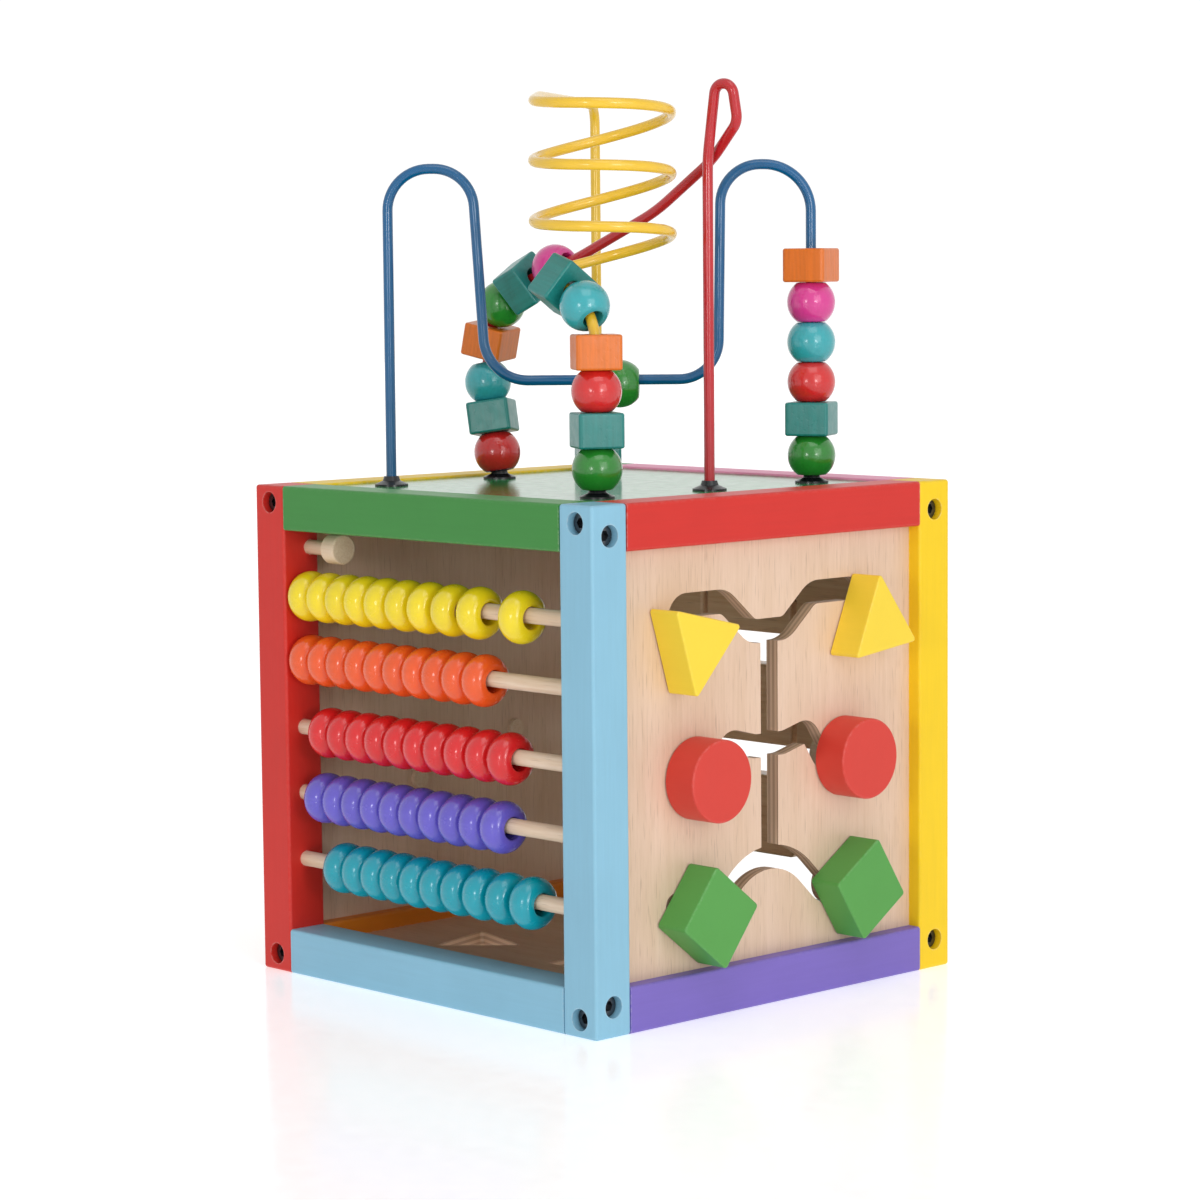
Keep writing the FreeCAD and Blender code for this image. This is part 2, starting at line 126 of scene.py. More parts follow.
# scales are per millimetre; the pairs are the ends of the range that is stretched to 0 and 1
grainLook = {
    "wobble": 0.045, "fibreScale": 0.75, "fibreDetail": 5.0, "fibreRoughness": 0.62,
    "bandScale": 0.11, "bandRange": (0.32, 0.68),
    "poreScale": 1.9, "poreDetail": 1.0, "poreRoughness": 0.4, "poreRange": (0.63, 0.74),
}


def makeGrain(look):
    # fibres, broad bands and short pores of wood whose grain runs along the axis with the small number
    group, given, result = newGroup(
        "woodGrain",
        [("Along", "Vector", (1.0, 1.0, 0.05))],
        [("Fibres", "Float"), ("Bands", "Float"), ("Pores", "Float")])
    place = millimetres(group, given["Along"])
    wobble = noise(group, place, look["wobble"])
    shifted = addNode(group, "ShaderNodeVectorMath", {0: place, 1: wobble}, operation="ADD").outputs[0]
    fibres = noise(group, shifted, look["fibreScale"], look["fibreDetail"], look["fibreRoughness"])
    bands = noise(group, place, look["bandScale"])
    pores = noise(group, shifted, look["poreScale"], look["poreDetail"], look["poreRoughness"])
    group.links.new(fibres, result["Fibres"])
    group.links.new(remap(group, bands, *look["bandRange"]), result["Bands"])
    group.links.new(remap(group, pores, *look["poreRange"]), result["Pores"])
    return group


# cosines of the angle between the flat and the rounded normal where an edge starts and where it is full
edgeStart, edgeFull = 0.995, 0.86


def makeSoftEdges():
    # 1 along the edges of a piece and 0 on its flats
    group, given, result = newGroup("softEdges", [("Width", "Float", 0.001)], [("Edge", "Float")])
    rounded = addNode(group, "ShaderNodeBevel", {"Radius": given["Width"]}, samples=4).outputs["Normal"]
    flat = addNode(group, "ShaderNodeNewGeometry").outputs["True Normal"]
    likeness = addNode(group, "ShaderNodeVectorMath", {0: rounded, 1: flat}, operation="DOT_PRODUCT")
    group.links.new(remap(group, likeness.outputs["Value"], edgeStart, edgeFull), result["Edge"])
    return group


def makePly():
    # the cut edges of a plywood piece, and every second layer of them
    group, given, result = newGroup(
        "plyLayers",
        [("Across", "Vector", (1.0, 0.0, 0.0)), ("Start", "Float", 0.0), ("Layer", "Float", 1.2)],
        [("Cut", "Float"), ("Second", "Float")])
    coords = addNode(group, "ShaderNodeTexCoord").outputs
    facing = addNode(group, "ShaderNodeVectorMath", {0: coords["Normal"], 1: given["Across"]},
                     operation="DOT_PRODUCT")
    steep = calculate(group, "ABSOLUTE", facing.outputs["Value"])
    depth = addNode(group, "ShaderNodeVectorMath", {0: millimetres(group), 1: given["Across"]},
                    operation="DOT_PRODUCT").outputs["Value"]
    layers = calculate(group, "DIVIDE", calculate(group, "SUBTRACT", depth, given["Start"]), given["Layer"])
    swing = calculate(group, "PINGPONG", layers, 1.0)
    group.links.new(remap(group, steep, 0.75, 0.45), result["Cut"])
    group.links.new(remap(group, swing, 0.42, 0.58), result["Second"])
    return group


paintLook = {
    "cloudScale": 0.035, "cloudShade": 0.25, "shade": 0.10, "rubbedColour": (0.86, 0.82, 0.74, 1.0),
    "rubScale": 0.6, "rubRange": (0.35, 0.65), "unevenScale": 0.22, "uneven": 0.02, "peelScale": 0.9,
    "peelHeight": 0.35,
}


def makePaintedWood(look, grain, softEdges):
    group, given, result = newGroup(
        "paintedWood",
        [("Color", "Color", (0.5, 0.5, 0.5, 1.0)), ("Along", "Vector", (1.0, 1.0, 0.05)),
         ("Grain", "Float", 0.3), ("Wear", "Float", 0.3), ("Gloss", "Float", 0.4)],
        [("Color", "Color"), ("Roughness", "Float"), ("Height", "Float")])
    fibres = addNode(group, "ShaderNodeGroup", node_tree=grain)
    group.links.new(given["Along"], fibres.inputs["Along"])
    edges = addNode(group, "ShaderNodeGroup", node_tree=softEdges)
    place = millimetres(group)
    cloud = noise(group, place, look["cloudScale"], 3.0)
    shade = remap(group, fibres.outputs["Fibres"], *noiseRange, -1.0, 1.0)
    shade = calculate(group, "MULTIPLY", shade, given["Grain"])
    cloudy = remap(group, cloud, *noiseRange, -look["cloudShade"], look["cloudShade"])
    level = calculate(group, "MULTIPLY_ADD", calculate(group, "ADD", shade, cloudy), look["shade"], 1.0)
    toned = brighten(group, given["Color"], level)
    wornPart = calculate(group, "MULTIPLY", edges.outputs["Edge"], given["Wear"])
    patches = remap(group, noise(group, place, look["rubScale"], 3.0), *look["rubRange"])
    rubbed = calculate(group, "MULTIPLY", wornPart, patches)
    group.links.new(blendColours(group, rubbed, toned, look["rubbedColour"]), result["Color"])
    blotches = noise(group, place, look["unevenScale"], 3.0)
    uneven = remap(group, blotches, *noiseRange, -look["uneven"], look["uneven"])
    group.links.new(calculate(group, "ADD", given["Gloss"], uneven, clamp=True), result["Roughness"])
    peel = calculate(group, "MULTIPLY", noise(group, place, look["peelScale"]), look["peelHeight"])
    lifted = calculate(group, "MULTIPLY_ADD", fibres.outputs["Fibres"], given["Grain"], peel)
    group.links.new(lifted, result["Height"])
    return group


bareLook = {
    "streakRange": (0.34, 0.68), "streak": 0.55, "band": 0.35,
    "pore": 0.30, "poreDepth": 0.5, "poreColour": (0.30, 0.17, 0.09, 1.0),
    "plyLight": (0.60, 0.42, 0.27, 1.0), "plyDark": (0.33, 0.20, 0.12, 1.0), "glossSpread": (-0.05, 0.07),
}


def makeBareWood(look, grain, ply):
    group, given, result = newGroup(
        "bareWood",
        [("Light", "Color", (0.8, 0.6, 0.4, 1.0)), ("Dark", "Color", (0.6, 0.4, 0.2, 1.0)),
         ("Along", "Vector", (1.0, 1.0, 0.05)), ("Gloss", "Float", 0.45), ("Ply", "Float", 0.0),
         ("Across", "Vector", (1.0, 0.0, 0.0)), ("Start", "Float", 0.0), ("Layer", "Float", 1.2)],
        [("Color", "Color"), ("Roughness", "Float"), ("Height", "Float")])
    fibres = addNode(group, "ShaderNodeGroup", node_tree=grain)
    group.links.new(given["Along"], fibres.inputs["Along"])
    layers = addNode(group, "ShaderNodeGroup", node_tree=ply)
    for name in ("Across", "Start", "Layer"):
        group.links.new(given[name], layers.inputs[name])
    streak = remap(group, fibres.outputs["Fibres"], *look["streakRange"])
    streak = calculate(group, "MULTIPLY", streak, look["streak"])
    streak = calculate(group, "MULTIPLY_ADD", fibres.outputs["Bands"], look["band"], streak)
    veneer = blendColours(group, streak, given["Light"], given["Dark"])
    pores = calculate(group, "MULTIPLY", fibres.outputs["Pores"], look["pore"])
    veneer = blendColours(group, pores, veneer, look["poreColour"])
    across = blendColours(group, layers.outputs["Second"], look["plyLight"], look["plyDark"])
    sawn = calculate(group, "MULTIPLY", layers.outputs["Cut"], given["Ply"])
    group.links.new(blendColours(group, sawn, veneer, across), result["Color"])
    uneven = remap(group, fibres.outputs["Bands"], 0.0, 1.0, *look["glossSpread"])
    group.links.new(calculate(group, "ADD", given["Gloss"], uneven, clamp=True), result["Roughness"])
    dents = calculate(group, "MULTIPLY_ADD", fibres.outputs["Pores"], -look["poreDepth"],
                      fibres.outputs["Fibres"])
    group.links.new(dents, result["Height"])
    return group


lacquerLook = {
    "streak": 0.35, "blotchScale": 0.30, "blotchSpread": (-0.05, 0.07), "dimpleScale": 0.55,
    "dimpleRange": (0.30, 0.42),
}


def makeLacquer(look, grain):
    # dipped paint on turned wood: each bead has its own tone, faint fibres and a few dimples
    group, given, result = newGroup(
        "lacquer",
        [("Color", "Color", (0.5, 0.5, 0.5, 1.0)), ("Along", "Vector", (1.0, 1.0, 0.1)),
         ("Grain", "Float", 0.2), ("Gloss", "Float", 0.2)],
        [("Color", "Color"), ("Roughness", "Float"), ("Height", "Float")])
    fibres = addNode(group, "ShaderNodeGroup", node_tree=grain)
    group.links.new(given["Along"], fibres.inputs["Along"])
    tone = addNode(group, "ShaderNodeAttribute", attribute_name="tone").outputs["Fac"]
    streak = remap(group, fibres.outputs["Fibres"], *noiseRange, -1.0, 1.0)
    streak = calculate(group, "MULTIPLY", streak, given["Grain"])
    level = calculate(group, "ADD", calculate(group, "MULTIPLY_ADD", streak, look["streak"], 1.0), tone)
    group.links.new(brighten(group, given["Color"], level), result["Color"])
    place = millimetres(group)
    uneven = remap(group, noise(group, place, look["blotchScale"], 3.0), *noiseRange, *look["blotchSpread"])
    group.links.new(calculate(group, "ADD", given["Gloss"], uneven, clamp=True), result["Roughness"])
    dimples = remap(group, noise(group, place, look["dimpleScale"], 1.0), *look["dimpleRange"])
    raised = calculate(group, "MULTIPLY_ADD", fibres.outputs["Fibres"], given["Grain"], dimples)
    group.links.new(raised, result["Height"])
    return group


coatingLook = {
    "cloudScale": 0.12, "cloudShade": (0.97, 1.03), "uneven": 0.04, "waveScale": 0.35,
    "spotScale": 1.4, "spotRange": (0.52, 0.70), "spotDarkness": 0.3, "spotDullness": 0.35,
}


def makeCoating(look):
    # smooth coating on metal or plastic: small waves and slightly uneven gloss
    group, given, result = newGroup(
        "coating",
        [("Color", "Color", (0.5, 0.5, 0.5, 1.0)), ("Gloss", "Float", 0.3), ("Grime", "Float", 0.2)],
        [("Color", "Color"), ("Roughness", "Float"), ("Height", "Float")])
    place = millimetres(group)
    cloud = noise(group, place, look["cloudScale"], 3.0)
    spots = remap(group, noise(group, place, look["spotScale"], 3.0, 0.6), *look["spotRange"])
    dulled = calculate(group, "MULTIPLY", spots, given["Grime"])
    cloudy = remap(group, cloud, *noiseRange, *look["cloudShade"])
    level = calculate(group, "MULTIPLY_ADD", dulled, -look["spotDarkness"], cloudy)
    group.links.new(brighten(group, given["Color"], level), result["Color"])
    rough = calculate(group, "MULTIPLY_ADD", dulled, look["spotDullness"], given["Gloss"])
    uneven = remap(group, cloud, *noiseRange, -look["uneven"], look["uneven"])
    group.links.new(calculate(group, "ADD", rough, uneven, clamp=True), result["Roughness"])
    group.links.new(noise(group, place, look["waveScale"], 3.0), result["Height"])
    return group


say("shared effects")
grain = makeGrain(grainLook)
softEdges = makeSoftEdges()
ply = makePly()
paintedWood = makePaintedWood(paintLook, grain, softEdges)
bareWood = makeBareWood(bareLook, grain, ply)
lacquer = makeLacquer(lacquerLook, grain)
coating = makeCoating(coatingLook)


def newMaterial(name, effect, values, shine, bump):
    material = bpy.data.materials.new(name)
    material.use_nodes = True
    tree = material.node_tree
    shader = tree.nodes["Principled BSDF"]
    skin = addNode(tree, "ShaderNodeGroup", node_tree=effect)
    for label, value in values.items():
        skin.inputs[label].default_value = value
    tree.links.new(skin.outputs["Color"], shader.inputs["Base Color"])
    tree.links.new(skin.outputs["Roughness"], shader.inputs["Roughness"])
    relief = {"Height": skin.outputs["Height"], "Distance": bump, "Strength": 1.0}
    raised = addNode(tree, "ShaderNodeBump", relief)
    tree.links.new(raised.outputs["Normal"], shader.inputs["Normal"])
    for label, value in shine.items():
        shader.inputs[label].default_value = value
    return material


alongX, alongY, alongZ = (0.05, 1.0, 1.0), (1.0, 0.05, 1.0), (1.0, 1.0, 0.05)


def loft(rings, closed=False):
    # a skin over rings of equally many points
    # closed joins the last ring to the first; otherwise the ends are capped
    shape = bmesh.new()
    made = [[shape.verts.new(Vector(p) * mm) for p in ring] for ring in rings]
    pairs = list(zip(made, made[1:] + made[:1])) if closed else list(zip(made, made[1:]))
    for low, high in pairs:
        for i in range(len(low)):
            j = (i + 1) % len(low)
            shape.faces.new((low[i], low[j], high[j], high[i]))
    if not closed:
        shape.faces.new(reversed(made[0]))
        shape.faces.new(made[-1])
    bmesh.ops.recalc_face_normals(shape, faces=shape.faces)
    return shape


def arc(centre, radii, start, end, steps):
    # points of an elliptic arc in a profile, angles in degrees
    turns = [math.radians(start + (end - start) * i / steps) for i in range(steps + 1)]
    return [(centre[0] + radii[0] * math.cos(a), centre[1] + radii[1] * math.sin(a)) for a in turns]


def lathe(profile, sides):
    # turns a closed outline of (radius, height) about Z
    turns = [2 * math.pi * i / sides for i in range(sides)]
    return loft([[(r * math.cos(a), r * math.sin(a), z) for a in turns] for r, z in profile], closed=True)


def regular(count, radius, turn):
    angles = [math.radians(turn + 360 * k / count) for k in range(count)]
    return [(radius * math.cos(a), radius * math.sin(a)) for a in angles]


def roundedOutline(corners, radius, inset, cornerSteps=6, sideSteps=10):
    # the outline through the corners, rounded by the radius and pulled in by the inset
    bends = []
    for i, corner in enumerate(corners):
        here = Vector(corner)
        back = (Vector(corners[i - 1]) - here).normalized()
        ahead = (Vector(corners[(i + 1) % len(corners)]) - here).normalized()
        halfAngle = back.angle(ahead) / 2
        centre = here + (back + ahead).normalized() * (radius / math.sin(halfAngle))
        start = here + back * (radius / math.tan(halfAngle)) - centre
        sweep = math.copysign(math.pi - 2 * halfAngle, start.cross(-back))
        pulledIn = start * ((radius - inset) / radius)
        bends.append([centre + Matrix.Rotation(sweep * k / cornerSteps, 2) @ pulledIn
                      for k in range(cornerSteps + 1)])
    outline = []
    for bend, following in zip(bends, bends[1:] + bends[:1]):
        outline += bend + [bend[-1].lerp(following[0], k / sideSteps) for k in range(1, sideSteps)]
    return outline


def likeCircle(outline, radius):
    # a circle whose points lie in the same directions as the outline's
    return [Vector(p).normalized() * radius for p in outline]


sharpAngle = 35.0    # edges that bend more than this stay sharp in the shading, in degrees


def addPiece(name, shape, material, node, place=None, tone=0.0):
    # a finished piece that stands for a CAD node and moves with its body; tone is read by the materials
    mesh = bpy.data.meshes.new(name)
    shape.to_mesh(mesh)
    shape.free()
    mesh.shade_smooth()
    mesh.set_sharp_from_angle(angle=math.radians(sharpAngle))
    mesh.materials.append(material)
    toneLayer = mesh.attributes.new("tone", "FLOAT", "POINT")
    toneLayer.data.foreach_set("value", [tone] * len(mesh.vertices))
    piece = bpy.data.objects.new(name, mesh)
    bpy.context.scene.collection.objects.link(piece)
    piece.matrix_world = place or Matrix.Identity(4)
    even = piece.modifiers.new("even shading", "WEIGHTED_NORMAL")
    even.keep_sharp = True
    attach(piece, bodyOf[node])
    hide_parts(node)


framePaint = {
    "shine": {"Specular IOR Level": 0.34, "Coat Weight": 0.05, "Coat Roughness": 0.25},
    "grain": 0.22, "wear": 0.35, "gloss": 0.44, "bump": 0.00005,
    "colours": {
        "lightBlue": "8abed6", "red": "d02b22", "yellow": "f6ce10", "green": "3a873a", "pink": "ee8fb4",
        "purple": "7a67bd", "orange": "ea861c",
    },
    "nodes": {
        "post_front_right": "lightBlue", "post_front_left": "red", "post_back_right": "yellow",
        "post_back_left": "green", "rail_top_front": "green", "rail_top_right": "red",
        "rail_top_left": "yellow", "rail_top_back": "pink", "rail_bottom_front": "lightBlue",
        "rail_bottom_right": "purple", "rail_bottom_left": "orange", "rail_bottom_back": "green",
    },
}


def dressNode(node, material):
    for place in cadNodes[node].material_slots:
        place.material = material


def grainDirection(node):
    if node.startswith("post"):
        return alongZ
    return alongX if node.endswith(("front", "back")) else alongY


def finishFrame(spec):
    made = {}
    for node, colour in spec["nodes"].items():
        along = grainDirection(node)
        if (colour, along) not in made:
            values = {"Color": sRgb(spec["colours"][colour]), "Along": along, "Grain": spec["grain"],
                      "Wear": spec["wear"], "Gloss": spec["gloss"]}
            title = f"{colour} paint along {'XYZ'[along.index(min(along))]}"
            made[colour, along] = newMaterial(title, paintedWood, values, spec["shine"], spec["bump"])
        dressNode(node, made[colour, along])


say("frame")
finishFrame(framePaint)


panelSpec = {
    "light": "e8cbb4", "dark": "dabb9f", "ply": 0.75, "layer": 1.2, "gloss": 0.45, "bump": 0.00004,
    "shine": {"Specular IOR Level": 0.4},
    "topColour": "2f9450", "topGrain": 0.2, "topWear": 0.1, "topGloss": 0.15, "topBump": 0.0,
    "topShine": {"Specular IOR Level": 0.27},
}


def finishPanels(spec):
    sides = {"panel_slider": (alongZ, (1.0, 0.0, 0.0)), "panel_gears": (alongZ, (1.0, 0.0, 0.0)),
             "panel_floor": (alongX, (0.0, 0.0, 1.0))}
    for node, (along, across) in sides.items():
        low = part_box(node)[0] / mm
        start = low.dot(Vector(across))
        values = {"Light": sRgb(spec["light"]), "Dark": sRgb(spec["dark"]), "Along": along,
                  "Gloss": spec["gloss"], "Ply": spec["ply"], "Across": across, "Start": start,
                  "Layer": spec["layer"]}
        dressNode(node, newMaterial(f"birch {node}", bareWood, values, spec["shine"], spec["bump"]))
    values = {"Color": sRgb(spec["topColour"]), "Along": alongX, "Grain": spec["topGrain"],
              "Wear": spec["topWear"], "Gloss": spec["topGloss"]}
    green = newMaterial("gloss green", paintedWood, values, spec["topShine"], spec["topBump"])
    dressNode("panel_top", green)


say("panels")
finishPanels(panelSpec)


hardware = {
    "dowelLight": "efd9c2", "dowelDark": "d9b996", "dowelGloss": 0.5, "dowelBump": 0.00006,
    "dowelShine": {"Specular IOR Level": 0.35},
    "boltColour": "5b5d61", "boltGloss": 0.30, "boltGrime": 0.6, "boltBump": 0.00002,
    "boltShine": {"Metallic": 1.0},
    "capColour": "15181b", "capGloss": 0.28, "capGrime": 0.3, "capBump": 0.00002,
    "capShine": {"Specular IOR Level": 0.5},
    "wireColours": {"wire_blue": "005a8c", "wire_red": "bd1e27", "wire_yellow": "efc233"},
    "wireGloss": 0.20, "wireBump": 0.0,
    "wireShine": {"Specular IOR Level": 0.45, "Coat Weight": 0.2, "Coat Roughness": 0.08},
}


def finishHardware(spec):
    values = {"Light": sRgb(spec["dowelLight"]), "Dark": sRgb(spec["dowelDark"]), "Along": alongX,
              "Gloss": spec["dowelGloss"]}
    dowel = newMaterial("dowel wood", bareWood, values, spec["dowelShine"], spec["dowelBump"])
    for node in ("counting_rods", "tile_rods", "stub_peg", "gear_axles"):
        dressNode(node, dowel)
    values = {"Color": sRgb(spec["boltColour"]), "Gloss": spec["boltGloss"], "Grime": spec["boltGrime"]}
    dressNode("frame_bolts", newMaterial("bolt zinc", coating, values, spec["boltShine"], spec["boltBump"]))
    values = {"Color": sRgb(spec["capColour"]), "Gloss": spec["capGloss"], "Grime": spec["capGrime"]}
    dressNode("wire_caps", newMaterial("black cap", coating, values, spec["capShine"], spec["capBump"]))
    for node, colour in spec["wireColours"].items():
        values = {"Color": sRgb(colour), "Gloss": spec["wireGloss"], "Grime": 0.0}
        dressNode(node, newMaterial(f"{node} coat", coating, values, spec["wireShine"], spec["wireBump"]))


say("rods, bolts, caps and wires")
finishHardware(hardware)


countingBead = {
    "radius": 10.3, "thickness": 11.6, "bore": 4.4, "mouth": 0.8, "cheek": 5.4, "sides": 64,
    "pitch": 11.7, "gloss": 0.22, "grain": 0.10, "bump": 0.00002, "toneSpread": 0.035,
    "toneStep": 2.4,
    "shine": {"Specular IOR Level": 0.45, "Coat Weight": 0.35, "Coat Roughness": 0.10},
    # colour, first bead, bead count, widening of the gaps along the row
    "rows": {
        "yellow": ("f4da1a", -76.0, 9, 0.070),
        "orange": ("ee5a20", -76.0, 10, 0.003),
        "red": ("dc2024", -64.5, 10, 0.016),
        "purple": ("665bc8", -67.8, 10, 0.010),
        "teal": ("009dae", -56.3, 10, 0.034),
    },
}


def countingBeadShape(spec):
    half, bore, mouth, cheek = spec["thickness"] / 2, spec["bore"], spec["mouth"], spec["cheek"]
    belly = (spec["radius"] - cheek, half)
    profile = arc((cheek, 0), belly, 90, -90, 22)
    profile += arc((bore + mouth, -half + mouth), (mouth, mouth), -90, -180, 4)
    profile += arc((bore + mouth, half - mouth), (mouth, mouth), 180, 90, 4)
    return lathe(profile, spec["sides"])


def addCountingBeads(spec):
    for row, (colour, first, count, widening) in spec["rows"].items():
        values = {"Color": sRgb(colour), "Along": alongZ, "Grain": spec["grain"], "Gloss": spec["gloss"]}
        paint = newMaterial(f"{row} bead", lacquer, values, spec["shine"], spec["bump"])
        node = f"counting_beads_{row}"
        low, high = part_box(node)
        places = []
        x = first
        for k in range(count):
            places.append((node, x))
            x += spec["pitch"] + widening * k * k
        if row == "yellow":
            loneLow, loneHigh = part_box("counting_bead_lone_yellow")
            places.append(("counting_bead_lone_yellow", (loneLow.x + loneHigh.x) / 2 / mm))
        for k, (owner, x) in enumerate(places):
            centre = Vector((x * mm, (low.y + high.y) / 2, (low.z + high.z) / 2))
            # quarter turns and small steps of tone, so that neighbours don't look alike
            turn = Matrix.Rotation(math.radians(90 * k), 4, "X") @ Matrix.Rotation(math.radians(90), 4, "Y")
            tone = spec["toneSpread"] * math.sin(spec["toneStep"] * k + len(row))
            addPiece(f"countingBead_{row}_{k + 1}", countingBeadShape(spec), paint, owner,
                     Matrix.Translation(centre) @ turn, tone=tone)


say("counting beads")
addCountingBeads(countingBead)


slidingSpec = {
    "back": 94.5, "front": 109.4, "backRound": 0.4, "frontRound": 0.8,
    "peg": 3.9, "collar": 8.0, "collarThickness": 4.0, "pegTail": 1.0, "panelInner": 88.0, "collarGap": 0.6,
    "pegInBlock": 1.0, "pegRound": 0.4, "collarRound": 0.6,
    "gloss": 0.50, "grain": 0.10, "wear": 0.25, "bump": 0.00004, "shine": {"Specular IOR Level": 0.45},
    # seats are (y, z) with y for the right one of the pair, turns are those of the left and the right one
    "triangle": {"colour": "f6d53a", "slot": "shape_yellow", "seat": (50.5, 145.3), "corners": 3,
                 "reach": 20.8, "round": 1.2, "turns": (17.0, 97.0)},
    "disc": {"colour": "d33a2e", "slot": "shape_red", "seat": (41.7, 92.4), "reach": 16.0},
    "square": {"colour": "529c46", "slot": "shape_green", "seat": (42.5, 40.0), "corners": 4,
               "reach": 28.8 / math.sqrt(2), "round": 1.5, "turns": (96.7, 78.0)},
}


def slab(outlineAt, back, front, backRound, frontRound):
    # a flat block along X; outlineAt gives its outline for an inset
    profile = arc((backRound, back + backRound), (-backRound, -backRound), 90, 0, 3)
    profile += arc((frontRound, front - frontRound), (-frontRound, frontRound), 0, 90, 5)
    return loft([[(x, p[0], p[1]) for p in outlineAt(inset)] for inset, x in profile])


def addSlidingShapes(spec):
    values = {"Light": sRgb(hardware["dowelLight"]), "Dark": sRgb(hardware["dowelDark"]), "Along": alongX,
              "Gloss": hardware["dowelGloss"]}
    bare = newMaterial("peg wood", bareWood, values, hardware["dowelShine"], hardware["dowelBump"])
    collarFront = spec["panelInner"] - spec["collarGap"]
    collarBack = collarFront - spec["collarThickness"]
    for kind in ("triangle", "disc", "square"):
        own = spec[kind]
        values = {"Color": sRgb(own["colour"]), "Along": alongX, "Grain": spec["grain"],
                  "Wear": spec["wear"], "Gloss": spec["gloss"]}
        paint = newMaterial(f"{kind} paint", paintedWood, values, spec["shine"], spec["bump"])
        for side, sign in (("left", -1), ("right", 1)):
            node = f"sliding_{kind}_{side}"
            seat = Vector((sign * own["seat"][0], own["seat"][1]))

            def outlineAt(inset):
                if kind == "disc":
                    return [Vector(p) + seat for p in regular(96, own["reach"] - inset, 0)]
                corners = regular(own["corners"], own["reach"], own["turns"][sign > 0])
                return [p + seat for p in roundedOutline(corners, own["round"], inset, 6, 4)]

            def disc(radius):
                return lambda inset: [Vector(p) + seat for p in regular(48, radius - inset, 0)]

            block = slab(outlineAt, spec["back"], spec["front"], spec["backRound"], spec["frontRound"])
            addPiece(f"{kind}Block_{side}", block, paint, node)
            pegEnds = (collarBack - spec["pegTail"], spec["back"] + spec["pegInBlock"])
            peg = slab(disc(spec["peg"]), *pegEnds, spec["pegRound"], spec["pegRound"])
            addPiece(f"{kind}Peg_{side}", peg, bare, node)
            collarRound = spec["collarRound"]
            collar = slab(disc(spec["collar"]), collarBack, collarFront, collarRound, collarRound)
            addPiece(f"{kind}Collar_{side}", collar, bare, node)


say("sliding shapes")
addSlidingShapes(slidingSpec)


gearSpec = {
    "pitchRadius": 28.65, "teeth": 12, "toothHeight": 2.9, "backlash": 0.55, "bore": 4.35, "edge": 0.6,
    "grooveInner": 9.5, "grooveOuter": 19.5, "grooveDepth": 0.5, "perTooth": 16,
    "gloss": 0.45, "grain": 0.3, "wear": 0.35, "bump": 0.00006, "shine": {"Specular IOR Level": 0.4},
    "wheels": {"middle": "3c8fc4", "low": "f4cb35", "high": "d23a34"},
    "slots": {"middle": "gear_blue", "low": "gear_yellow", "high": "gear_red"},
    "seats": {"low": (-25.0, 72.0), "middle": (30.0, 88.0), "high": (5.8, 139.9)},   # as (y, z)
}


def gearShape(spec, thickness, turn):
    count = spec["teeth"] * spec["perTooth"]
    turns = [2 * math.pi * k / count for k in range(count)]

    def tooth(inset, x):
        base = spec["pitchRadius"] - spec["backlash"] - inset
        radii = [base + spec["toothHeight"] * math.cos(spec["teeth"] * (a - turn)) for a in turns]
        return [(x, r * math.cos(a), r * math.sin(a)) for r, a in zip(radii, turns)]

    def ring(radius, x):
        return [(x, radius * math.cos(a), radius * math.sin(a)) for a in turns]

    half, edge, depth = thickness / 2, spec["edge"], spec["grooveDepth"]
    rings = [ring(spec["bore"], half - edge), ring(spec["bore"] + edge, half)]
    rings += [ring(spec["grooveInner"], half), ring(spec["grooveInner"] + depth, half - depth)]
    rings += [ring(spec["grooveOuter"] - depth, half - depth), ring(spec["grooveOuter"], half)]
    rings += [tooth(edge - edge * math.sin(a), half - edge + edge * math.cos(a))
              for a in (0.0, 0.4, 0.8, 1.2, math.pi / 2)]
    mirrored = [[(-x, y, z) for x, y, z in points] for points in reversed(rings)]
    return loft(rings + mirrored, closed=True)


def addGears(spec):
    middle = spec["seats"]["middle"]
    for name, colour in spec["wheels"].items():
        node = f"gear_{name}"
        low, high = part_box(node)
        y, z = spec["seats"][name]
        centre = Vector(((low.x + high.x) / 2, y * mm, z * mm))
        # each outer gear is turned so that its teeth meet the gaps of the middle one
        outward = math.atan2(z - middle[1], y - middle[0])
        turn = 0.0 if name == "middle" else 2 * outward - math.pi / spec["teeth"]
        values = {"Color": sRgb(colour), "Along": alongZ, "Grain": spec["grain"], "Wear": spec["wear"],
                  "Gloss": spec["gloss"]}
        paint = newMaterial(f"{name} gear paint", paintedWood, values, spec["shine"], spec["bump"])
        shape = gearShape(spec, (high.x - low.x) / mm, turn)
        addPiece(f"{name}Gear", shape, paint, node, Matrix.Translation(centre))


say("gears")
addGears(gearSpec)


tileSpec = {
    "round": 1.5, "bore": 3.5, "mouth": 0.6, "light": "e6c8a4", "dark": "cfa67a", "gloss": 0.36,
    "bump": 0.00005, "shine": {"Specular IOR Level": 0.45, "Coat Weight": 0.2, "Coat Roughness": 0.2},
    # the marks: middle radius of the ring, reach of the cross, half width and softness of the strokes
    "ring": "2f7fb8", "cross": "cf3b36", "ringRadius": 8.0, "crossReach": 7.5, "markWidth": 1.7,
    "markRagged": 0.18, "markSoftness": 0.12,
}


